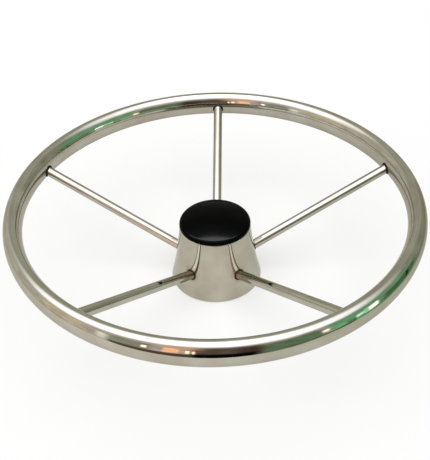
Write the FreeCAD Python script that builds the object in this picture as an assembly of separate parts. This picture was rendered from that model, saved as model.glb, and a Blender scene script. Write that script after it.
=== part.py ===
import FreeCAD, Part
import os
from math import acos, atan2, cos, degrees, radians, sin, tan

# A dished boat steering wheel of polished stainless steel, in millimetres.
# The shaft axis is Z. The wheel stands on the flat back of its hub at Z = 0, and the driver's side is up.
# One spoke points along +Y, and the keyway of the shaft bore lies under it.

# Rim: an oval tube bent into a ring
wheel_diameter = 394.0
rim_section_width = 17.0
rim_section_height = 25.4
rim_tip_radius = 6.2
rim_wall = 1.2

# Spokes: straight round bars that rise from the hub to the rim
spoke_count = 5
spoke_diameter = 9.5
dish_angle = 24.25
spoke_axis_height = 7.3

# Hub shell: a hollow cone drawn from sheet, with the sheet turned in around the cap's opening
shell_base_diameter = 91.5
shell_top_diameter = 70.0
shell_height = 64.0
shell_flare = 1.3
shell_wall = 1.5
shell_shoulder = 1.0
shell_foot_chamfer = 0.8
cap_opening_diameter = 61.0
spoke_hole_clearance = 0.15

# Boss: the turned core that sits on the tapered shaft
boss_diameter = 38.0
boss_length = 32.0
boss_chamfer = 1.0
bore_large_diameter = 19.05
bore_taper = 1.0 / 12.0
bore_mouth_chamfer = 0.6
key_width = 4.8
key_depth = 2.4

# Back plate: a disc that closes the shell and carries the boss
plate_thickness = 3.0
seam_depth = 1.4

# Washer and nut that pull the boss up the shaft's taper
washer_diameter = 28.0
washer_hole_diameter = 13.5
washer_thickness = 2.5
nut_across_flats = 19.05
nut_height = 11.1
nut_thread_diameter = 11.5

# Cap: a moulded dome with spring legs that plug into the shell's opening
cap_rise = 8.5
cap_edge = 0.6
cap_edge_round = 4.0
cap_wall = 2.4
cap_seat_gap = 0.1
cap_leg_count = 6
cap_leg_length = 9.0
cap_leg_wall = 1.8
cap_leg_gap = 0.1
cap_leg_slot = 7.0
cap_leg_lead = 0.6
cap_leg_lead_height = 1.2

# Fillet welds at both ends of each spoke and where it passes through the shell
rim_weld_leg = 1.3
shell_weld_leg = 1.0
boss_weld_leg = 2.0
weld_slope = 0.8

rim_radius = (wheel_diameter - rim_section_width) / 2
rim_height = spoke_axis_height + rim_radius * tan(radians(dish_angle))
spoke_radius = spoke_diameter / 2
boss_radius = boss_diameter / 2
shell_base_radius = shell_base_diameter / 2
shell_top_radius = shell_top_diameter / 2
cap_opening_radius = cap_opening_diameter / 2
spoke_start = FreeCAD.Vector(0, 0, spoke_axis_height)
spoke_direction = FreeCAD.Vector(cos(radians(dish_angle)), 0, sin(radians(dish_angle)))
spoke_length = rim_radius / cos(radians(dish_angle))
first_spoke_angle = 90.0
shaft_axis = FreeCAD.Vector(0, 0, 1)
centre = FreeCAD.Vector(0, 0, 0)


def at(radius, height):
    """A point of a turned outline, at a radius from the shaft axis and a height above the hub's back."""
    return FreeCAD.Vector(radius, 0, height)


def line(start, end):
    return Part.LineSegment(at(*start), at(*end)).toShape()


def arc(start, middle, end):
    return Part.Arc(at(*start), at(*middle), at(*end)).toShape()


def arc_about(middle, radius, start, end):
    """An arc of an outline, from its centre, its radius and the directions of its ends in degrees."""
    turns = [radians(start), radians((start + end) / 2), radians(end)]
    return arc(*[(middle[0] + radius * cos(turn), middle[1] + radius * sin(turn)) for turn in turns])


def chain(points):
    """Straight edges through the points, left open."""
    return [line(points[i], points[i + 1]) for i in range(len(points) - 1)]


def turned(edges):
    """The solid that a closed outline sweeps around the shaft axis."""
    return Part.Face(Part.Wire(edges)).revolve(centre, shaft_axis, 360)


def ring(inner_radius, outer_radius, bottom, top):
    """A plain ring around the shaft axis."""
    corners = [(inner_radius, bottom), (outer_radius, bottom), (outer_radius, top), (inner_radius, top)]
    return turned(chain(corners + corners[:1]))


def around(shape, index):
    """The copy of a shape made along +X that belongs to the spoke of this number."""
    copy = shape.copy()
    copy.rotate(centre, shaft_axis, first_spoke_angle + index * 360.0 / spoke_count)
    return copy


def rim_body(inset):
    """The ring inside the rim's surface by inset, without a hollow. Its oval section is four smooth arcs."""
    long_half = max(rim_section_width, rim_section_height) / 2
    short_half = min(rim_section_width, rim_section_height) / 2
    tip_height = long_half - rim_tip_radius
    side_radius = (tip_height**2 + short_half**2 - rim_tip_radius**2) / (2 * (short_half - rim_tip_radius))
    side_centre = side_radius - short_half
    meeting = degrees(atan2(tip_height, side_centre))
    first = 0 if rim_section_height > rim_section_width else 90
    section = []
    for turn in (first, first + 180):
        side = radians(turn)
        side_middle = (rim_radius - side_centre * cos(side), rim_height - side_centre * sin(side))
        section.append(arc_about(side_middle, side_radius - inset, turn - meeting, turn + meeting))
        tip = radians(turn + 90)
        tip_middle = (rim_radius + tip_height * cos(tip), rim_height + tip_height * sin(tip))
        section.append(arc_about(tip_middle, rim_tip_radius - inset, turn + meeting, turn + 180 - meeting))
    return turned(section)


def rim_tube():
    return rim_body(0).cut(rim_body(rim_wall))


def shell_side(inset):
    """Lower end, middle and upper end of the shell's flared side, set in by inset."""
    top = shell_height - shell_shoulder
    lower = (shell_base_radius - inset, shell_foot_chamfer)
    upper = (shell_top_radius - inset, top)
    middle = ((lower[0] + upper[0]) / 2 - shell_flare, (lower[1] + upper[1]) / 2)
    return lower, middle, upper


def shell_body(inset):
    """The hub shell with its side set in by inset, without a hollow."""
    lower, middle, upper = shell_side(inset)
    foot = lower[0] - shell_foot_chamfer
    crown = upper[0] - shell_shoulder
    return turned(
        [
            line((0, 0), (foot, 0)),
            line((foot, 0), lower),
            arc(lower, middle, upper),
            arc_about((crown, upper[1]), shell_shoulder, 0, 90),
            line((crown, shell_height), (0, shell_height)),
            line((0, shell_height), (0, 0)),
        ]
    )


def shell_hollow():
    """The space inside the hub shell, up to the sheet that is turned in at the top."""
    lower, middle, upper = shell_side(shell_wall)
    flared = turned(
        [
            line((0, 0), (lower[0], 0)),
            line((lower[0], 0), lower),
            arc(lower, middle, upper),
            line(upper, (0, upper[1])),
            line((0, upper[1]), (0, 0)),
        ]
    )
    return flared.common(ring(0, shell_base_radius, 0, shell_height - shell_wall))


def spoke_bar(radius, length):
    """A round bar of any radius on the axis of the spoke that points along +X."""
    return Part.makeCylinder(radius, length, spoke_start, spoke_direction)


def boss_space(inset):
    """A plain cylinder inside the boss's side by inset, longer than the hub at both ends."""
    return Part.makeCylinder(boss_radius - inset, 3 * shell_height, at(0, -shell_height), shaft_axis)


def spoke():
    """One bar, shaped at its ends to sit on the boss and on the inside of the rim."""
    return spoke_bar(spoke_radius, spoke_length).cut(boss_space(0)).cut(rim_body(0))


def hub_shell():
    shell = shell_body(0).cut(shell_hollow())
    shell = shell.cut(Part.makeCylinder(cap_opening_radius, shell_height, at(0, shell_height / 2)))
    hole = spoke_bar(spoke_radius + spoke_hole_clearance, 2 * shell_base_radius)
    for index in range(spoke_count):
        shell = shell.cut(around(hole, index))
    return shell


def bore_radius(height):
    """The radius of the tapered bore at a height above the hub's back."""
    return (bore_large_diameter - bore_taper * height) / 2


def shaft_boss():
    """The boss with its taper and keyway."""
    mouth = bore_radius(0) + bore_mouth_chamfer
    shoulder = boss_radius - boss_chamfer
    corners = [
        (mouth, 0),
        (boss_radius, 0),
        (boss_radius, boss_length - boss_chamfer),
        (shoulder, boss_length),
        (bore_radius(boss_length), boss_length),
        (bore_radius(bore_mouth_chamfer), bore_mouth_chamfer),
        (mouth, 0),
    ]
    body = turned(chain(corners))
    # the keyway's floor keeps its depth below the taper all the way up
    floor = [
        FreeCAD.Vector(-key_width / 2, 0, 0),
        FreeCAD.Vector(-key_width / 2, bore_radius(0) + key_depth, 0),
        FreeCAD.Vector(-key_width / 2, bore_radius(boss_length) + key_depth, boss_length),
        FreeCAD.Vector(-key_width / 2, 0, boss_length),
    ]
    keyway = Part.Face(Part.makePolygon(floor + floor[:1])).extrude(FreeCAD.Vector(key_width, 0, 0))
    return body.cut(keyway)


def shell_seam():
    """The groove between back plate and shell, which the weld fills flush."""
    seam_radius = shell_base_radius - shell_wall
    corners = [(seam_radius - seam_depth, 0), (seam_radius, 0), (seam_radius, seam_depth)]
    return turned(chain(corners + corners[:1])).common(shell_hollow())


def boss_seam():
    """The groove between back plate and boss, which the weld fills flush."""
    corners = [(boss_radius, 0), (boss_radius + seam_depth, 0), (boss_radius, seam_depth)]
    return turned(chain(corners + corners[:1]))


def back_plate():
    disc = ring(boss_radius, shell_base_radius, 0, plate_thickness).common(shell_hollow())
    return disc.cut(shell_seam()).cut(boss_seam())


def shaft_washer():
    return ring(washer_hole_diameter / 2, washer_diameter / 2, boss_length, boss_length + washer_thickness)


def shaft_nut():
    """A hexagon nut with its corners turned off at both ends."""
    bottom = boss_length + washer_thickness
    top = bottom + nut_height
    flat_radius = nut_across_flats / 2
    point_radius = flat_radius / cos(radians(30))
    drop = (point_radius - flat_radius) * tan(radians(30))
    turns = [radians(60 * k) for k in range(7)]
    hexagon = [FreeCAD.Vector(point_radius * cos(a), point_radius * sin(a), bottom) for a in turns]
    prism = Part.Face(Part.makePolygon(hexagon)).extrude(FreeCAD.Vector(0, 0, nut_height))
    outline = [
        (nut_thread_diameter / 2, bottom),
        (flat_radius, bottom),
        (point_radius, bottom + drop),
        (point_radius, top - drop),
        (flat_radius, top),
        (nut_thread_diameter / 2, top),
        (nut_thread_diameter / 2, bottom),
    ]
    return prism.common(turned(chain(outline)))


def centre_cap():
    """The dome and its ring of legs, parted by slots so that each leg can spring."""
    seat = shell_height + cap_seat_gap
    edge = seat + cap_edge
    top = edge + cap_rise
    leg_outer = cap_opening_radius - cap_leg_gap
    leg_inner = leg_outer - cap_leg_wall
    tip = shell_height - shell_wall - cap_leg_length
    lead = tip + cap_leg_lead_height
    # the dome is a wide crown arc that runs smoothly into a small arc at the edge
    turn_radius = shell_top_radius - cap_edge_round
    crown = (turn_radius**2 + cap_rise**2 - cap_edge_round**2) / (2 * (cap_rise - cap_edge_round))
    meeting = degrees(acos(turn_radius / (crown - cap_edge_round)))
    under_crown = crown - cap_wall
    under_end = degrees(acos(leg_inner / under_crown))
    root = top - crown + under_crown * sin(radians(under_end))
    cap = turned(
        [
            arc_about((turn_radius, edge), cap_edge_round, 0, meeting),
            arc_about((0, top - crown), crown, meeting, 90),
            line((0, top), (0, top - cap_wall)),
            arc_about((0, top - crown), under_crown, 90, under_end),
            line((leg_inner, root), (leg_inner, tip)),
            line((leg_inner, tip), (leg_outer - cap_leg_lead, tip)),
            line((leg_outer - cap_leg_lead, tip), (leg_outer, lead)),
            line((leg_outer, lead), (leg_outer, seat)),
            line((leg_outer, seat), (shell_top_radius, seat)),
            line((shell_top_radius, seat), (shell_top_radius, edge)),
        ]
    )
    slot = Part.makeBox(shell_top_radius, cap_leg_slot, seat - tip, FreeCAD.Vector(0, -cap_leg_slot / 2, tip))
    for index in range(cap_leg_count):
        gap = slot.copy()
        gap.rotate(centre, shaft_axis, index * 360.0 / cap_leg_count)
        cap = cap.cut(gap)
    return cap


def fillet_weld(body, leg):
    """The weld in the corner where the spoke leaves a body. body gives that body's form for any inset."""
    axis = Part.makeLine(spoke_start, at(rim_radius, rim_height))
    surface = body(0)
    foot = axis.section(surface).Vertexes[0]
    collars = spoke_bar(spoke_radius + leg, spoke_length).common(body(-leg)).cut(surface)
    collars = collars.cut(spoke_bar(spoke_radius, spoke_length))
    collar = min(collars.Solids, key=lambda one: one.distToShape(foot)[0])

    def reach(edge):
        middle = Part.Vertex(edge.valueAt((edge.FirstParameter + edge.LastParameter) / 2))
        return middle.distToShape(axis)[0] + middle.distToShape(surface)[0]

    # the collar's outer corner is farthest from both spoke and body, and is cut back to a slope
    farthest = max(reach(edge) for edge in collar.Edges)
    corner = [edge for edge in collar.Edges if reach(edge) > farthest - leg / 10]
    return collar.makeChamfer(leg * weld_slope, corner)


parts = {
    "rim_tube": rim_tube(),
    "hub_shell": hub_shell(),
    "shaft_boss": shaft_boss(),
    "back_plate": back_plate(),
    "shell_seam_weld": shell_seam(),
    "boss_seam_weld": boss_seam(),
    "shaft_washer": shaft_washer(),
    "shaft_nut": shaft_nut(),
    "centre_cap": centre_cap(),
}
one_spoke = spoke()
one_rim_weld = fillet_weld(rim_body, rim_weld_leg)
one_shell_weld = fillet_weld(shell_body, shell_weld_leg)
one_boss_weld = fillet_weld(boss_space, boss_weld_leg)
for number in range(spoke_count):
    parts[f"spoke_{number + 1}"] = around(one_spoke, number)
    parts[f"rim_weld_{number + 1}"] = around(one_rim_weld, number)
    parts[f"shell_weld_{number + 1}"] = around(one_shell_weld, number)
    parts[f"boss_weld_{number + 1}"] = around(one_boss_weld, number)

os.makedirs("parts", exist_ok=True)
for name, shape in parts.items():
    shape.exportStep(f"parts/{name}.step")
    box = shape.optimalBoundingBox()
    print(
        f"{name}: valid {shape.isValid()}, {len(shape.Solids)} solid, {shape.Volume:.0f} mm3,"
        f" {box.XLength:.1f} x {box.YLength:.1f} x {box.ZLength:.1f} mm"
    )
print(f"rim centre {rim_height:.2f} mm above the hub's back")
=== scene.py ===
import bmesh
import bpy
from math import acos, atan2, cos, hypot, pi, radians, sin, sqrt, tan
from mathutils import Matrix, Vector


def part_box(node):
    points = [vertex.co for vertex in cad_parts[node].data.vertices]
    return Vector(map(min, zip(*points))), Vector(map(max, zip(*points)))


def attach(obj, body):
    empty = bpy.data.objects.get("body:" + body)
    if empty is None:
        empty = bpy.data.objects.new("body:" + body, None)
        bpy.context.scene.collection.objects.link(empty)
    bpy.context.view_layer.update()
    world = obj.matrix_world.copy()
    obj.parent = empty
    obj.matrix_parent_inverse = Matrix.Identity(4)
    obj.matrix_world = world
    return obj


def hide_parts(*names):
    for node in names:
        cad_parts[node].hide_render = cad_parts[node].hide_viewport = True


# A dished boat steering wheel of polished stainless steel, in metres, standing on the flat back of its hub.
# The shaft axis is Z and the first spoke points along +Y.
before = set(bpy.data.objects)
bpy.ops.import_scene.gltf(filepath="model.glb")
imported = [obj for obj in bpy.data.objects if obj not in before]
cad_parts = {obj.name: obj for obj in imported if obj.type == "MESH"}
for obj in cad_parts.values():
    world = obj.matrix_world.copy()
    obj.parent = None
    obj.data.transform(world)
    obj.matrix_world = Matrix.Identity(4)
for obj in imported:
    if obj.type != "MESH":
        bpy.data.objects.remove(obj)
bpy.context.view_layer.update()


# The rim is one stainless tube of oval section, bent into a ring, butt welded, and polished to a mirror.
# Its outer skin is drawn here much finer than in the solid, because a mirror shows every flat of its mesh.
rim_low, rim_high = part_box("rim_tube")
rim_half_width = 0.0085
rim_tip_radius = 0.0062
rim_radius = min(rim_high.x, rim_high.y, -rim_low.x, -rim_low.y) - rim_half_width
rim_height = (rim_low.z + rim_high.z) / 2
rim_tip_height = (rim_high.z - rim_low.z) / 2 - rim_tip_radius
rim_bulge = rim_half_width - rim_tip_radius
rim_side_radius = (rim_tip_height**2 + rim_half_width**2 - rim_tip_radius**2) / 2 / rim_bulge
rim_side_offset = rim_side_radius - rim_half_width
rim_meeting = atan2(rim_tip_height, rim_side_offset)
rim_tip_reach = pi / 2 - rim_meeting
rim_arc_steps = 26
rim_steps = 640
same_point = 1e-7
sharp_edge = radians(30)
steel_dark = (0.415, 0.385, 0.33)
steel_light = (0.485, 0.47, 0.43)
steel_edge = (0.72, 0.71, 0.68)
buffed_wave_depth = 2.5e-5
hairline_depth = 5e-7
long_mark_share = 0.02


def full_turn(steps):
    """Directions evenly spaced all the way round."""
    return [2 * pi * step / steps for step in range(steps)]


def arc(middle, radius, start, end, steps):
    """Points of an outline along an arc, from its first direction to one step short of its last."""
    turns = [start + (end - start) * step / steps for step in range(steps)]
    return [(middle[0] + radius * cos(turn), middle[1] + radius * sin(turn)) for turn in turns]


def hoop_faces(count, steps):
    """The faces between copies of a closed outline of count points, set one after another in a hoop."""
    faces = []
    for step in range(steps):
        here, there = step * count, (step + 1) % steps * count
        for side in range(count):
            ahead = (side + 1) % count
            faces.append((here + side, there + side, there + ahead, here + ahead))
    return faces


def smoothed(mesh):
    """Shades a mesh smooth, apart from its sharp edges."""
    mesh.shade_smooth()
    mesh.set_sharp_from_angle(angle=sharp_edge)


def piece_from(name, points, faces):
    """An object of these points and faces, closed where points meet, smooth apart from its sharp edges."""
    mesh = bpy.data.meshes.new(name)
    mesh.from_pydata(points, [], faces)
    work = bmesh.new()
    work.from_mesh(mesh)
    bmesh.ops.remove_doubles(work, verts=work.verts, dist=same_point)
    bmesh.ops.recalc_face_normals(work, faces=work.faces)
    work.to_mesh(mesh)
    work.free()
    smoothed(mesh)
    piece = bpy.data.objects.new(name, mesh)
    bpy.context.scene.collection.objects.link(piece)
    return piece


def turned(name, outline, steps):
    """A piece swept round the shaft axis from a closed outline of (radius, height) points."""
    points = []
    for turn in full_turn(steps):
        points += [(radius * cos(turn), radius * sin(turn), height) for radius, height in outline]
    return piece_from(name, points, hoop_faces(len(outline), steps))


def feed(tree, node, inputs):
    """Gives each input of a shader node a plain value, or the output that feeds it."""
    for socket, value in inputs.items():
        if isinstance(value, bpy.types.NodeSocket):
            tree.links.new(value, node.inputs[socket])
        else:
            node.inputs[socket].default_value = value


def add(tree, kind, inputs=(), **settings):
    """A new shader node with its settings and inputs."""
    made = tree.nodes.new(kind)
    for setting, value in settings.items():
        setattr(made, setting, value)
    feed(tree, made, dict(inputs))
    return made


def place_on(tree):
    """Where a point of the surface lies, in metres in the piece's own frame."""
    return add(tree, "ShaderNodeTexCoord").outputs["Object"]


def parts_of(tree, vector):
    """The X, Y and Z of a vector."""
    return add(tree, "ShaderNodeSeparateXYZ", {0: vector}).outputs


def stretched(tree, vector, factors):
    """A vector with each of its three parts multiplied."""
    made = add(tree, "ShaderNodeVectorMath", {0: vector, 1: factors}, operation="MULTIPLY")
    return made.outputs["Vector"]


def length_of(tree, vector):
    """How long a vector is."""
    made = add(tree, "ShaderNodeVectorMath", {0: vector}, operation="LENGTH")
    return made.outputs["Value"]


def worked_out(tree, operation, first, second=0.0, third=0.0):
    """One step of arithmetic on shader values."""
    made = add(tree, "ShaderNodeMath", {0: first, 1: second, 2: third}, operation=operation)
    return made.outputs["Value"]


def noise(tree, vector, spots, detail=2.0):
    """Soft noise between 0 and 1, with about this many spots to the metre."""
    made = add(tree, "ShaderNodeTexNoise", {"Vector": vector, "Scale": spots, "Detail": detail})
    return made.outputs["Fac"]


def between(tree, value, low, high, start=0.3, end=0.7):
    """A value that runs from low to high while another runs from start to end."""
    inputs = {"Value": value, "From Min": start, "From Max": end, "To Min": low, "To Max": high}
    return add(tree, "ShaderNodeMapRange", inputs).outputs["Result"]


def blended(tree, share, first, second):
    """A colour that runs from the first to the second with a share. Either may be an output's colour."""
    ends = [end if isinstance(end, bpy.types.NodeSocket) else (*end, 1) for end in (first, second)]
    made = add(tree, "ShaderNodeMix", {"Factor": share, "A": ends[0], "B": ends[1]}, data_type="RGBA")
    return made.outputs["Result"]


def raised(tree, height, depth, under=None):
    """The normal of a surface raised by a pattern this deep, over another such pattern if one is given."""
    made = add(tree, "ShaderNodeBump", {"Height": height, "Distance": depth})
    if under is not None:
        feed(tree, made, {"Normal": under})
    return made.outputs["Normal"]


def round_marks(tree, place):
    """Coordinates that stay the same all round the shaft axis, for marks that run round the ring."""
    radius = length_of(tree, stretched(tree, place, (1, 1, 0)))
    height = parts_of(tree, place)["Z"]
    return add(tree, "ShaderNodeCombineXYZ", {"X": radius, "Y": height}).outputs["Vector"]


def long_marks(tree, place):
    """Coordinates that hardly change along a bar, for marks that run along it."""
    return stretched(tree, place, (long_mark_share, 1, 1))


def new_material(name):
    """A material with its node tree and its main shader."""
    made = bpy.data.materials.new(name)
    made.use_nodes = True
    return made, made.node_tree, made.node_tree.nodes["Principled BSDF"]


def polished_steel(name, marks, dark=steel_dark, light=steel_light, edge=steel_edge):
    """Mirror-polished stainless: a faint wave from the buffing, hairlines along the marks, and smudges."""
    material, tree, shader = new_material(name)
    place = place_on(tree)
    hairlines = noise(tree, marks(tree, place), spots=2600, detail=3)
    smudges = noise(tree, place, spots=40, detail=3)
    wave = raised(tree, noise(tree, place, spots=70), buffed_wave_depth)
    worn = worked_out(tree, "MULTIPLY", smudges, hairlines)
    feed(tree, shader, {
        "Base Color": blended(tree, between(tree, smudges, 0, 1), dark, light),
        "Roughness": between(tree, worn, 0.025, 0.11, start=0.15, end=0.5),
        "Metallic": 1.0,
        "Specular Tint": (*edge, 1),
        "Normal": raised(tree, hairlines, hairline_depth, under=wave),
    })
    return material


def dress(piece, material, slot, *nodes):
    """Gives a wheel piece its material, and hides the CAD nodes that it stands for. The slot is not used."""
    piece.data.materials.append(material)
    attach(piece, "wheel")
    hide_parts(*nodes)


rim_outline = []
for side in (0, pi):
    side_middle = (rim_radius - rim_side_offset * cos(side), rim_height)
    rim_outline += arc(side_middle, rim_side_radius, side - rim_meeting, side + rim_meeting, rim_arc_steps)
    tip = side + pi / 2
    tip_middle = (rim_radius, rim_height + rim_tip_height * sin(tip))
    rim_outline += arc(tip_middle, rim_tip_radius, tip - rim_tip_reach, tip + rim_tip_reach, rim_arc_steps)
ring_steel = polished_steel("ring_polished_steel", round_marks)
rim = turned("rim_skin", rim_outline, rim_steps)
dress(rim, ring_steel, "polished_steel", "rim_tube")


# The boss is the turned steel core that sits on the helm shaft. Its bore is tapered and keyed.
# It carries the spokes, and keeps the fine rings that the lathe's tool left.
_, boss_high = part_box("shaft_boss")
boss_radius = boss_high.x
lathe_ring_depth = 6e-6
lathe_stained = (0.40, 0.38, 0.35)
lathe_bright = (0.54, 0.52, 0.48)


def turned_steel(name):
    """Steel as it comes off the lathe: fine rings, a duller face and a few darker stains."""
    material, tree, shader = new_material(name)
    place = place_on(tree)
    rings = noise(tree, round_marks(tree, place), spots=5200, detail=1)
    stains = noise(tree, place, spots=160, detail=4)
    feed(tree, shader, {
        "Base Color": blended(tree, stains, lathe_stained, lathe_bright),
        "Roughness": between(tree, stains, 0.24, 0.38),
        "Metallic": 1.0,
        "Normal": raised(tree, rings, lathe_ring_depth),
    })
    return material


def finish_node(name, material):
    """Gives a CAD node that stays shown its material."""
    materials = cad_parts[name].data.materials
    materials.clear()
    materials.append(material)


lathe_steel = turned_steel("lathe_turned_steel")
finish_node("shaft_boss", lathe_steel)


# The five spokes are straight round bars of polished stainless, welded at both ends.
# Each end is cut to the shape it sits on: the boss's round side below and the rim's oval above.
spoke_count = 5
spoke_radius = 0.00475
spoke_root = 0.0073
spoke_rise = radians(24.25)
spoke_steps = 72
spoke_length = rim_radius / cos(spoke_rise)
spoke_middle = spoke_length / 2
spoke_frame = Matrix.Translation((0, 0, spoke_root)) @ Matrix.Rotation(-spoke_rise, 4, "Y")
halvings = 30


def boss_gap(radius, height):
    """Distance of a point from the boss's side, below 0 inside it. It is the same at every height."""
    return radius - boss_radius


def rim_gap(radius, height):
    """Distance of a point from the rim's skin, below 0 inside the tube."""
    across, along = abs(radius - rim_radius), abs(height - rim_height)
    if atan2(along, across + rim_side_offset) < rim_meeting:
        return hypot(across + rim_side_offset, along) - rim_side_radius
    return hypot(across, along - rim_tip_height) - rim_tip_radius


def meets(gap, spread, turn, near, far, clear=0.0):
    """How far along the spoke a line beside its axis comes to a distance from a body."""

    def is_clear(along):
        point = spoke_frame @ Vector((along, spread * cos(turn), spread * sin(turn)))
        return gap(hypot(point.x, point.y), point.z) > clear

    starts_clear = is_clear(near)
    for _ in range(halvings):
        middle = (near + far) / 2
        if is_clear(middle) == starts_clear:
            near = middle
        else:
            far = middle
    return near


def round_bar(name):
    """A spoke in its own frame, with X along it from the shaft axis."""
    points = []
    for turn in full_turn(spoke_steps):
        start = meets(boss_gap, spoke_radius, turn, 0, spoke_middle)
        end = meets(rim_gap, spoke_radius, turn, spoke_middle, spoke_length)
        across, up = spoke_radius * cos(turn), spoke_radius * sin(turn)
        points += [(start, across, up), (end, across, up)]
    start = meets(boss_gap, 0, 0, 0, spoke_middle)
    end = meets(rim_gap, 0, 0, spoke_middle, spoke_length)
    points += [(start, 0, 0), (end, 0, 0)]
    start_point, end_point = 2 * spoke_steps, 2 * spoke_steps + 1
    faces = []
    for step in range(spoke_steps):
        here, there = 2 * step, 2 * (step + 1) % start_point
        faces.append((here, there, there + 1, here + 1))
        faces.append((here, there, start_point))
        faces.append((here + 1, there + 1, end_point))
    return piece_from(name, points, faces)


def at_spoke(piece, number):
    """Puts a piece that was made in the spoke's own frame at the spoke of this number."""
    piece.matrix_world = Matrix.Rotation(pi / 2 + 2 * pi * number / spoke_count, 4, "Z") @ spoke_frame


bar_steel = polished_steel("bar_polished_steel", long_marks)
for number in range(spoke_count):
    bar = round_bar(f"spoke_bar_{number + 1}")
    at_spoke(bar, number)
    dress(bar, bar_steel, "polished_steel", f"spoke_{number + 1}")


# The welds round both ends of every spoke are small fillets laid by hand, one drop of metal on the next.
# They are left with every ripple standing, browned by the heat and darkened near black as painted shade of
# the joint.
rim_weld_leg = 0.0013
boss_weld_leg = 0.002
weld_pitch = 0.0011
weld_fullness = 0.42
weld_ripple = 0.22
weld_face_steps = 6
steps_per_ripple = 6
# Both weld colours are heat browning darkened nearly to black: painted shade in the joint round each spoke.
weld_browned_and_shaded = (0.016, 0.014, 0.012)
weld_grey_shaded = (0.045, 0.038, 0.032)
weld_edge = (0.4, 0.38, 0.36)
weld_pit_depth = 3e-6


def weld_bead(name, gap, near, far, leg):
    """A fillet round the spoke in the corner that it makes with a body, in the spoke's own frame."""
    ripples = round(2 * pi * (spoke_radius + leg / 2) / weld_pitch)
    steps = ripples * steps_per_ripple
    outer, halfway = spoke_radius + leg, spoke_radius + leg / 2
    points = []
    for step, turn in enumerate(full_turn(steps)):
        corner = (meets(gap, outer, turn, near, far, leg), outer)
        toe = (meets(gap, spoke_radius, turn, near, far, leg), spoke_radius)
        foot = (meets(gap, outer, turn, near, far), outer)
        under = (meets(gap, halfway, turn, near, far), halfway)
        root = (meets(gap, spoke_radius, turn, near, far), spoke_radius)
        scallop = sqrt(1 - (2 * (step / steps_per_ripple % 1) - 1) ** 2)
        full = weld_fullness - weld_ripple * (1 - scallop)
        crest = [(toe[axis] + foot[axis]) / 2 * (1 - full) + corner[axis] * full for axis in (0, 1)]
        face = (toe, crest, foot)
        section = []
        for part in range(weld_face_steps + 1):
            share = part / weld_face_steps
            weights = ((1 - share) ** 2, 2 * share * (1 - share), share**2)
            section.append([sum(w * p[axis] for w, p in zip(weights, face)) for axis in (0, 1)])
        section += [under, root]
        points += [(along, spread * cos(turn), spread * sin(turn)) for along, spread in section]
    return piece_from(name, points, hoop_faces(len(section), steps))


def shaded_weld_steel(name):
    """Weld metal browned by the heat, darkened near black as painted shade where a spoke meets its body."""
    material, tree, shader = new_material(name)
    place = place_on(tree)
    heat = noise(tree, place, spots=260)
    pits = noise(tree, place, spots=6000)
    # The base colour is painted shade as well as browning: near black, for the dark joint round each spoke.
    feed(tree, shader, {
        "Base Color": blended(tree, heat, weld_browned_and_shaded, weld_grey_shaded),
        "Roughness": between(tree, heat, 0.28, 0.42),
        "Metallic": 1.0,
        "Specular Tint": (*weld_edge, 1),
        "Normal": raised(tree, pits, weld_pit_depth),
    })
    return material


shaded_bead_steel = shaded_weld_steel("browned_and_shaded_weld_steel")


def lay_bead(where, number, gap, near, far, leg):
    """Lays one bead round the spoke of this number, where it meets the rim, the boss or the shell."""
    bead = weld_bead(f"{where}_bead_{number + 1}", gap, near, far, leg)
    at_spoke(bead, number)
    dress(bead, shaded_bead_steel, "weld_bead", f"{where}_weld_{number + 1}")


for number in range(spoke_count):
    lay_bead("rim", number, rim_gap, spoke_middle, spoke_length, rim_weld_leg)
    lay_bead("boss", number, boss_gap, 0, spoke_middle, boss_weld_leg)


# The back plate is a disc of sheet steel that closes the hub and seats against the helm.
# Two seams hold it to the shell and to the boss, ground flush with its face.
plate_steel = turned_steel("faced_plate_steel")
finish_node("back_plate", plate_steel)
# The seams take the same near-black weld colour, painted shade included.
for seam in ("shell_seam_weld", "boss_seam_weld"):
    finish_node(seam, shaded_bead_steel)


# The hub shell is a cone drawn from sheet, slightly flared, with its top turned in round the cap's opening.
# Five holes let the spokes through to the boss. Outside it is polished like the rim.
shell_low, shell_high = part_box("hub_shell")
shell_height = shell_high.z
shell_base_radius = min(shell_high.x, shell_high.y, -shell_low.x, -shell_low.y)
shell_top_radius = 0.035
shell_flare = 0.0013
shell_wall = 0.0015
shell_shoulder = 0.001
shell_foot_chamfer = 0.0008
shell_hole_clearance = 0.00015
cap_opening_radius = 0.0305
shell_side_steps = 40
shell_shoulder_steps = 8
shell_steps = 240
shell_rise = shell_height - shell_shoulder - shell_foot_chamfer
shell_lean = shell_base_radius - shell_top_radius
shell_chord = hypot(shell_rise, shell_lean)
shell_inner_top = shell_height - shell_wall
shell_dark = (0.405, 0.368, 0.298)
shell_light = (0.48, 0.461, 0.398)
shell_edge = (0.87, 0.88, 0.90)
hole_share_of_lean = 0.45
hole_radius = shell_base_radius - hole_share_of_lean * shell_lean
hole_height = spoke_root + hole_radius * tan(spoke_rise)
heat_reach = 0.006
heat_ragged = heat_reach / 4
heat_share = 0.42
heat_colour = (0.24, 0.155, 0.085)


def shell_side(height):
    """The radius of the shell's outside at a height, on the curve that flares it."""
    lift = height - shell_foot_chamfer
    straight = shell_base_radius - shell_lean * lift / shell_rise
    return straight - 4 * shell_flare * lift / shell_rise * (1 - lift / shell_rise)


def shell_gap(radius, height):
    """Distance of a point from the shell's outside, below 0 inside it."""
    return (radius - shell_side(height)) * shell_rise / shell_chord


def cut_with(piece, cutters):
    """Cuts other objects out of a piece and deletes them."""
    for cutter in cutters:
        cut = piece.modifiers.new("cut", "BOOLEAN")
        cut.object = cutter
        cut.solver = "EXACT"
    depsgraph = bpy.context.evaluated_depsgraph_get()
    mesh = bpy.data.meshes.new_from_object(piece.evaluated_get(depsgraph))
    piece.modifiers.clear()
    piece.data = mesh
    smoothed(mesh)
    for cutter in cutters:
        bpy.data.objects.remove(cutter)


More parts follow.
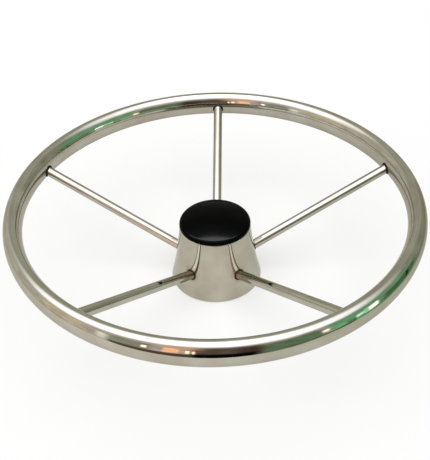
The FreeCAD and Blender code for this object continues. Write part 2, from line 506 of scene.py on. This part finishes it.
def round_cutter(radius, length):
    """A plain round bar in the spoke's own frame, to cut its hole with."""
    turns = full_turn(spoke_steps)
    points = [(end, radius * cos(turn), radius * sin(turn)) for end in (0, length) for turn in turns]
    faces = [range(spoke_steps), range(spoke_steps, 2 * spoke_steps)]
    for step in range(spoke_steps):
        ahead = (step + 1) % spoke_steps
        faces.append((step, ahead, ahead + spoke_steps, step + spoke_steps))
    return piece_from("cutter", points, faces)


def eased(tree, value, start, end):
    """0 before the start and 1 past the end, with a soft turn at both."""
    inputs = {"Value": value, "From Min": start, "From Max": end}
    return add(tree, "ShaderNodeMapRange", inputs, interpolation_type="SMOOTHSTEP").outputs["Result"]


def brown_by_heat(material):
    """Adds the faint brown that welding leaves round each spoke's hole, most of it polished off again."""
    tree, shader = material.node_tree, material.node_tree.nodes["Principled BSDF"]
    steel = shader.inputs["Base Color"].links[0].from_socket
    place = place_on(tree)
    apart = parts_of(tree, place)
    turn = worked_out(tree, "ARCTAN2", apart["X"], apart["Y"])
    off = worked_out(tree, "WRAP", turn, pi / spoke_count, -pi / spoke_count)
    aside = worked_out(tree, "MULTIPLY", off, hole_radius)
    above = worked_out(tree, "SUBTRACT", apart["Z"], hole_height)
    from_hole = add(tree, "ShaderNodeCombineXYZ", {"X": aside, "Y": above}).outputs["Vector"]
    ragged = between(tree, noise(tree, place, spots=140), -heat_ragged, heat_ragged)
    away = worked_out(tree, "ADD", length_of(tree, from_hole), ragged)
    near = eased(tree, away, spoke_radius + heat_reach, spoke_radius)
    heated = worked_out(tree, "MULTIPLY", near, heat_share)
    feed(tree, shader, {"Base Color": blended(tree, heated, steel, heat_colour)})


side_shares = [step / shell_side_steps for step in range(shell_side_steps + 1)]
side_heights = [shell_foot_chamfer + shell_rise * share for share in side_shares]
shell_outline = [(shell_base_radius - shell_foot_chamfer, 0)]
shell_outline += [(shell_side(height), height) for height in side_heights]
shoulder_middle = (shell_top_radius - shell_shoulder, shell_height - shell_shoulder)
shell_outline += arc(shoulder_middle, shell_shoulder, 0, pi / 2, shell_shoulder_steps)[1:]
shell_outline += [(shoulder_middle[0], shell_height), (cap_opening_radius, shell_height)]
shell_outline += [(cap_opening_radius, shell_inner_top)]
shell_outline += [(shell_side(shell_inner_top) - shell_wall, shell_inner_top)]
shell_outline += [(shell_side(height) - shell_wall, height) for height in reversed(side_heights[:-1])]
shell_outline += [(shell_base_radius - shell_wall, 0)]
shell = turned("hub_cone", shell_outline, shell_steps)
hole_cutters = []
for number in range(spoke_count):
    cutter = round_cutter(spoke_radius + shell_hole_clearance, 2 * shell_base_radius)
    at_spoke(cutter, number)
    hole_cutters.append(cutter)
cut_with(shell, hole_cutters)
shell_steel = polished_steel("shell_polished_steel", round_marks, shell_dark, shell_light, shell_edge)
brown_by_heat(shell_steel)
dress(shell, shell_steel, "polished_steel", "hub_shell")


# A smaller fillet runs round each spoke where it leaves the shell. It closes the hole's clearance.
# It is laid from outside, like those at the rim.
shell_weld_leg = 0.001
inside_shell = spoke_length / 8
for number in range(spoke_count):
    lay_bead("shell", number, shell_gap, inside_shell, spoke_middle, shell_weld_leg)


# The washer and nut pull the boss up the shaft's taper. Both are plain steel, turned and faced.
# They are done up with a spanner, which reaches them once the cap is out.
for fastener in ("shaft_washer", "shaft_nut"):
    finish_node(fastener, lathe_steel)


# The centre cap is one moulding of black plastic: a low dome with six spring legs that grip the opening.
# It pulls straight out by hand. The mould leaves a fine satin grain, rubbed smoother in patches.
cap_low, cap_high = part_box("centre_cap")
cap_radius = min(cap_high.x, cap_high.y, -cap_low.x, -cap_low.y)
cap_seat_gap = 0.0001
cap_edge_height = 0.0006
cap_seat = shell_height + cap_seat_gap
cap_edge = cap_seat + cap_edge_height
cap_edge_round = 0.004
cap_wall = 0.0024
cap_rise = cap_high.z - cap_edge
cap_leg_gap = 0.0001
cap_leg_wall = 0.0018
cap_leg_outer = cap_opening_radius - cap_leg_gap
cap_leg_inner = cap_leg_outer - cap_leg_wall
cap_leg_count = 6
cap_leg_slot = 0.007
cap_lead = 0.0006
cap_lead_height = 0.0012
cap_edge_steps = 12
cap_crown_steps = 30
cap_under_steps = 16
cap_steps = 240
cap_turn_radius = cap_radius - cap_edge_round
cap_crown = (cap_turn_radius**2 + cap_rise**2 - cap_edge_round**2) / 2 / (cap_rise - cap_edge_round)
cap_under = cap_crown - cap_wall
cap_meeting = acos(cap_turn_radius / (cap_crown - cap_edge_round))
cap_under_end = acos(cap_leg_inner / cap_under)
cap_blackest = (0.0005, 0.0006, 0.0006)
cap_dusty = (0.0012, 0.0013, 0.0013)
cap_grain_depth = 4e-6
block_sides = [(0, 1, 2, 3), (4, 5, 6, 7), (0, 1, 5, 4), (1, 2, 6, 5), (2, 3, 7, 6), (3, 0, 4, 7)]

crown_middle = (0, cap_high.z - cap_crown)
cap_outline = arc((cap_turn_radius, cap_edge), cap_edge_round, 0, cap_meeting, cap_edge_steps)
cap_outline += arc(crown_middle, cap_crown, cap_meeting, pi / 2, cap_crown_steps)
cap_outline += [(0, cap_high.z)]
cap_outline += arc(crown_middle, cap_under, pi / 2, cap_under_end, cap_under_steps)
cap_outline += [(cap_leg_inner, crown_middle[1] + cap_under * sin(cap_under_end))]
cap_outline += [(cap_leg_inner, cap_low.z), (cap_leg_outer - cap_lead, cap_low.z)]
cap_outline += [(cap_leg_outer, cap_low.z + cap_lead_height), (cap_leg_outer, cap_seat)]
cap_outline += [(cap_radius, cap_seat)]
cap = turned("cap_dome", cap_outline, cap_steps)
slot_side = cap_leg_slot / 2
slot_corners = ((0, -slot_side), (cap_radius, -slot_side), (cap_radius, slot_side), (0, slot_side))
slot_heights = (cap_low.z - cap_wall, cap_seat)
slot_cutters = []
for number in range(cap_leg_count):
    turn = Matrix.Rotation(2 * pi * number / cap_leg_count, 4, "Z")
    corners = [turn @ Vector((x, y, z)) for z in slot_heights for x, y in slot_corners]
    slot_cutters.append(piece_from("cutter", corners, block_sides))
cut_with(cap, slot_cutters)


def satin_plastic(name):
    """Black moulded plastic with the mould's fine grain, and a little dust and rubbing."""
    material, tree, shader = new_material(name)
    place = place_on(tree)
    grain = noise(tree, place, spots=2400)
    rubbed = noise(tree, place, spots=55, detail=3)
    feed(tree, shader, {
        "Base Color": blended(tree, rubbed, cap_blackest, cap_dusty),
        "Roughness": between(tree, rubbed, 0.11, 0.16),
        "Specular IOR Level": 0.025,
        "Normal": raised(tree, grain, cap_grain_depth),
    })
    return material


cap.data.materials.append(satin_plastic("black_satin_plastic"))
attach(cap, "cap")
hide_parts("centre_cap")


# The wheel stands on a pale table top, a matt board without a seam. It keeps the shadow near the wheel, and
# turns white towards its edges. Mirrors show it a little creamier in front, greener on the right and dimmer
# behind.
table_left, table_right = -0.46, 0.43
table_front, table_back = -0.43, 0.62
table_drop = 0.00005
table_thickness = 0.012
table_roughness = 0.8
table_white_radius = 0.40
table_white_least = 0.4
table_grey, table_pale = (0.80, 0.797, 0.782), (0.84, 0.837, 0.822)
table_left_tint, table_right_tint = (1, 1, 1), (0.77, 0.83, 0.75)
table_right_from, table_right_to = -0.05, 0.3
table_front_tint, table_back_tint = (1.05, 1.02, 0.94), (0.74, 0.71, 0.62)
table_back_from, table_back_to = -0.1, 0.3


def white_for_views(tree, rays=("Is Camera Ray", "Is Glossy Ray", "Is Transmission Ray")):
    """1 for the rays that show a background, 0 for those that only light the object."""
    path = add(tree, "ShaderNodeLightPath").outputs
    shows = path[rays[0]]
    for ray in rays[1:]:
        shows = worked_out(tree, "MAXIMUM", shows, path[ray])
    return shows


def shown_by(tree, shader):
    """Makes a shader the one that the surface shows."""
    tree.links.new(shader.outputs[0], tree.nodes["Material Output"].inputs["Surface"])


def matt_table(name):
    """A matt pale board that glows white far from the wheel, tinted where only mirrors see it."""
    material, tree, board = new_material(name)
    place = place_on(tree)
    feed(tree, board, {
        "Base Color": blended(tree, noise(tree, place, spots=30, detail=4), table_grey, table_pale),
        "Roughness": table_roughness,
    })
    far_out = length_of(tree, place)
    whitening = between(tree, far_out, table_white_least, 1, start=0, end=table_white_radius)
    share = worked_out(tree, "MULTIPLY", whitening, white_for_views(tree))
    across = parts_of(tree, place)
    rightward = between(tree, across["X"], 0, 1, start=table_right_from, end=table_right_to)
    backward = between(tree, across["Y"], 0, 1, start=table_back_from, end=table_back_to)
    side_tint = blended(tree, rightward, table_left_tint, table_right_tint)
    depth_tint = blended(tree, backward, table_front_tint, table_back_tint)
    mirrored = stretched(tree, side_tint, depth_tint)
    in_mirrors = white_for_views(tree, ["Is Glossy Ray"])
    colour = blended(tree, in_mirrors, (1, 1, 1), mirrored)
    white = add(tree, "ShaderNodeEmission", {"Color": colour, "Strength": 1.0})
    shown_by(tree, add(tree, "ShaderNodeMixShader", {0: share, 1: board.outputs[0], 2: white.outputs[0]}))
    return material


table_heights = (-table_drop, -table_drop - table_thickness)
table_front_corners = ((table_left, table_front), (table_right, table_front))
table_back_corners = ((table_right, table_back), (table_left, table_back))
table_corners = [(x, y, z) for z in table_heights for x, y in table_front_corners + table_back_corners]
table = piece_from("table_top", table_corners, block_sides)
table.data.materials.append(matt_table("matt_table_top"))


# The light is one broad soft box that hangs level overhead, a little to the front and left.
# An oval face of light below it, fading out round its edge, is what mirrors see in its place.
soft_box_place = (-0.35, -0.25, 1.6)
soft_box_size = (3.0, 1.9)
soft_box_radiance = 2.0
face_middle = (-0.26, -0.12, 0.80)
face_half = (0.83, 0.41)
face_soft = 0.95
face_colour = (0.96, 1.0, 1.06)
face_radiance = 3.3


def hung_lamp(name, shape, place, size, radiance):
    """A lamp that hangs level over the wheel and shines straight down."""
    light = bpy.data.lights.new(name, "AREA")
    light.shape = shape
    light.size, light.size_y = size
    filled = {"RECTANGLE": 1, "ELLIPSE": pi / 4}[shape]
    light.energy = radiance * pi * filled * size[0] * size[1]
    lamp = bpy.data.objects.new(name, light)
    lamp.location = place
    bpy.context.scene.collection.objects.link(lamp)
    return lamp


def glowing_material(name):
    """A material that is nothing but light."""
    material, tree, shader = new_material(name)
    tree.nodes.remove(shader)
    light = add(tree, "ShaderNodeEmission", {"Strength": 1.0})
    shown_by(tree, light)
    return material, tree, light


def only_in_mirrors(piece, material):
    """Dresses a stage piece that glossy surfaces see and that lights nothing else."""
    material.cycles.emission_sampling = "NONE"
    piece.data.materials.append(material)
    piece.visible_camera = piece.visible_diffuse = piece.visible_shadow = piece.visible_transmission = False


def fading_face(name):
    """Light that is even in the middle of the face and fades out to nothing at its edge."""
    material, tree, light = glowing_material(name)
    feed(tree, light, {"Color": (*face_colour, 1), "Strength": face_radiance})
    across = stretched(tree, place_on(tree), (1 / face_half[0], 1 / face_half[1], 0))
    share = eased(tree, length_of(tree, across), 1 + face_soft, 1 - face_soft)
    clear = add(tree, "ShaderNodeBsdfTransparent")
    shown_by(tree, add(tree, "ShaderNodeMixShader", {0: share, 1: clear.outputs[0], 2: light.outputs[0]}))
    return material


soft_box = hung_lamp("soft_box", "RECTANGLE", soft_box_place, soft_box_size, soft_box_radiance)
soft_box.visible_glossy = False
face_reach = [half * (1 + face_soft) for half in face_half]
face_signs = ((-1, -1), (1, -1), (1, 1), (-1, 1))
face_corners = [(x * face_reach[0], y * face_reach[1], 0) for x, y in face_signs]
soft_box_face = piece_from("soft_box_face", face_corners, [(0, 1, 2, 3)])
soft_box_face.location = face_middle
only_in_mirrors(soft_box_face, fading_face("soft_box_face"))


# A narrow oval lamp hangs level above the hub and lights the black cap alone.
# It is what glints along the cap's front edge.
cap_lamp_place = (-0.09, 0.17, 0.79)
cap_lamp_size = (0.98, 0.17)
cap_lamp_radiance = 30.0
cap_lamp = hung_lamp("cap_lamp", "ELLIPSE", cap_lamp_place, cap_lamp_size, cap_lamp_radiance)
cap_lamp.visible_diffuse = False
lit_by_cap_lamp = bpy.data.collections.new("lit_by_cap_lamp")
lit_by_cap_lamp.objects.link(cap)
cap_lamp.light_linking.receiver_collection = lit_by_cap_lamp


# What else the mirror finish shows of the studio is painted in soft patches on a dome that only mirrors see.
# A patch gives its middle, width and side softness, its lower and upper edge and their softness, all in
# degrees, and its radiance. Its middle is counted from the camera's side, and grows to the right.
dome_radius = 3.0
dome_outline_steps = 32
dome_steps = 64
dome_ground = (0.87, 0.76, 0.75)
dome_dimmest, dome_brightest = 0.78, 1.22
surroundings = {
    "front haze": (-20, 190, 30, 46, 120, 24, (2.3, 2.35, 2.4)),
    "under the table": (0, 400, 1, -100, -23, 6, (0.30, 0.29, 0.25)),
    "left wall": (-115, 110, 20, -21, 49, 9, (0.76, 0.75, 0.65)),
    "right wall": (130, 80, 10, -21, 56, 12, (0.40, 0.425, 0.33)),
    "back wall": (180, 78, 14, -21, 59, 12, (0.57, 0.575, 0.475)),
    "high window": (182, 72, 44, 67, 82, 10, (4.5, 4.5, 4.6)),
    "warm wall": (-70, 26, 8, -9, 23, 8, (0.98, 0.86, 0.65)),
    "green panel": (79, 54, 6, -25, 34, 10, (0.27, 0.58, 0.33)),
    "dark green panel": (94, 25, 8, -13, 7, 6, (0.12, 0.25, 0.12)),
    "olive panel": (33, 33, 6, -25, 27, 14, (0.20, 0.33, 0.20)),
    "grey panel": (-37, 20, 6, -21, 23, 8, (0.50, 0.52, 0.43)),
    "warm ledge": (-28, 37, 3, -23, -4, 2, (0.17, 0.13, 0.09)),
    "green ledge": (49, 32, 4, -23, -7, 3, (0.16, 0.24, 0.14)),
    "dark panel": (5.7, 32, 7, -27, 32, 18, (0.19, 0.15, 0.12)),
    "brown edge": (15, 10, 7, -10, 22, 10, (0.10, 0.07, 0.05)),
    "orange haze": (-15.5, 18, 10, 20, 44, 14, (1.2, 0.80, 0.56)),
    "black panel": (4.6, 29, 5, -29, -1, 10, (0.004, 0.004, 0.003)),
    "light green strip": (57.5, 6, 3, -6, 7, 3, (0.25, 0.84, 0.41)),
    "shaded green strip": (62.4, 4.6, 2, -8, 6, 3, (0.21, 0.49, 0.24)),
    "bright green strip": (67.6, 4.6, 1, -4, 6, 3, (1.1, 1.75, 1.4)),
    "pale green strip": (71, 2.2, 0.8, -8, 10, 3, (0.62, 1.35, 0.82)),
    "white strip": (75, 5.8, 1.2, -7, 8, 3, (2.7, 2.8, 2.7)),
    "first dark spot": (64.1, 1.2, 0.6, -9, -1, 2, (0.08, 0.15, 0.07)),
    "second dark spot": (61.8, 1.0, 0.6, -9.5, -3.5, 2, (0.08, 0.16, 0.07)),
    "third dark spot": (57.7, 0.9, 0.5, -12, -6.5, 2, (0.08, 0.14, 0.07)),
    "fourth dark spot": (55.9, 0.9, 0.5, -12, -7, 2, (0.08, 0.14, 0.07)),
    "dark strip": (98.7, 2, 1.5, -11, 4, 4, (0.02, 0.03, 0.02)),
    "cream strip": (49.8, 3.3, 1, 1, 11, 2, (2.4, 2.1, 1.6)),
    "orange strip": (-18.2, 7.2, 1.5, -2, 20, 3, (2.1, 1.18, 0.70)),
    "first thin strip": (-30, 2.4, 0.8, 3, 14, 2, (3.0, 2.8, 2.4)),
    "second thin strip": (-11, 1.9, 0.6, -1, 13, 2, (3.0, 2.3, 1.6)),
    "third thin strip": (-8.4, 1.1, 0.5, -1, 12, 2, (2.9, 2.3, 1.7)),
    "pale strip": (-49.4, 5.2, 4, -8, 14, 6, (1.4, 1.5, 1.2)),
}


def painted(tree, azimuth, elevation, ground, patch):
    """Lays one soft patch over what is painted on the dome so far."""
    middle, width, side_soft, low, high, end_soft, radiance = patch
    off = worked_out(tree, "WRAP", worked_out(tree, "SUBTRACT", azimuth, middle), 180, -180)
    off = worked_out(tree, "ABSOLUTE", off)
    beside = eased(tree, off, (width + side_soft) / 2, (width - side_soft) / 2)
    over_low = eased(tree, elevation, low - end_soft / 2, low + end_soft / 2)
    under_high = eased(tree, elevation, high + end_soft / 2, high - end_soft / 2)
    share = worked_out(tree, "MULTIPLY", worked_out(tree, "MULTIPLY", beside, over_low), under_high)
    return blended(tree, share, ground, radiance)


def studio_glow(name):
    """The dome's light: its ground tone, every patch over it, and a slight unevenness."""
    material, tree, light = glowing_material(name)
    sight = add(tree, "ShaderNodeVectorMath", {0: place_on(tree)}, operation="NORMALIZE").outputs["Vector"]
    ahead = parts_of(tree, sight)
    frontward = worked_out(tree, "MULTIPLY", ahead["Y"], -1.0)
    azimuth = worked_out(tree, "DEGREES", worked_out(tree, "ARCTAN2", ahead["X"], frontward))
    elevation = worked_out(tree, "DEGREES", worked_out(tree, "ARCSINE", ahead["Z"]))
    ground = dome_ground
    for patch in surroundings.values():
        ground = painted(tree, azimuth, elevation, ground, patch)
    uneven = between(tree, noise(tree, sight, spots=9, detail=3), dome_dimmest, dome_brightest)
    glow = add(tree, "ShaderNodeVectorMath", {0: ground, "Scale": uneven}, operation="SCALE")
    feed(tree, light, {"Color": glow.outputs["Vector"]})
    return material


dome_outline = arc((0, 0), dome_radius, -pi / 2, pi / 2, dome_outline_steps) + [(0, dome_radius)]
dome = turned("studio_dome", dome_outline, dome_steps)
dome.location = (0, 0, rim_height)
only_in_mirrors(dome, studio_glow("studio_surroundings"))


# The world is white wherever it shows behind the table, in views, mirrors and glass alike.
# For the light itself it is only a plain grey fill.
world_fill = 0.45
world = bpy.data.worlds.new("white_room")
bpy.context.scene.world = world
world.use_nodes = True
world_tree = world.node_tree
world_tree.nodes.clear()
world_strength = between(world_tree, white_for_views(world_tree), world_fill, 1.0, start=0, end=1)
sky = add(world_tree, "ShaderNodeBackground", {"Color": (1, 1, 1, 1), "Strength": world_strength})
world_output = add(world_tree, "ShaderNodeOutputWorld")
world_tree.links.new(sky.outputs[0], world_output.inputs["Surface"])


# The camera looks down on the wheel from the front at about 39 degrees, two thirds of a metre away,
# with a slight roll. Its focal length is given in pixels of a picture 460 high.
picture_height = 460
focal_pixels = 680.035
camera_place = (0.022803, -0.518636, 0.481841)
camera_turn = (50.571, 1.457, 1.336)
camera_data = bpy.data.cameras.new("camera")
camera_data.sensor_fit = "AUTO"
camera_data.sensor_width = 36.0
camera_data.lens = focal_pixels * camera_data.sensor_width / picture_height
camera = bpy.data.objects.new("camera", camera_data)
camera.location = camera_place
camera.rotation_euler = [radians(degrees) for degrees in camera_turn]
bpy.context.scene.collection.objects.link(camera)
bpy.context.scene.camera = camera
bpy.context.scene.view_settings.view_transform = "Standard"
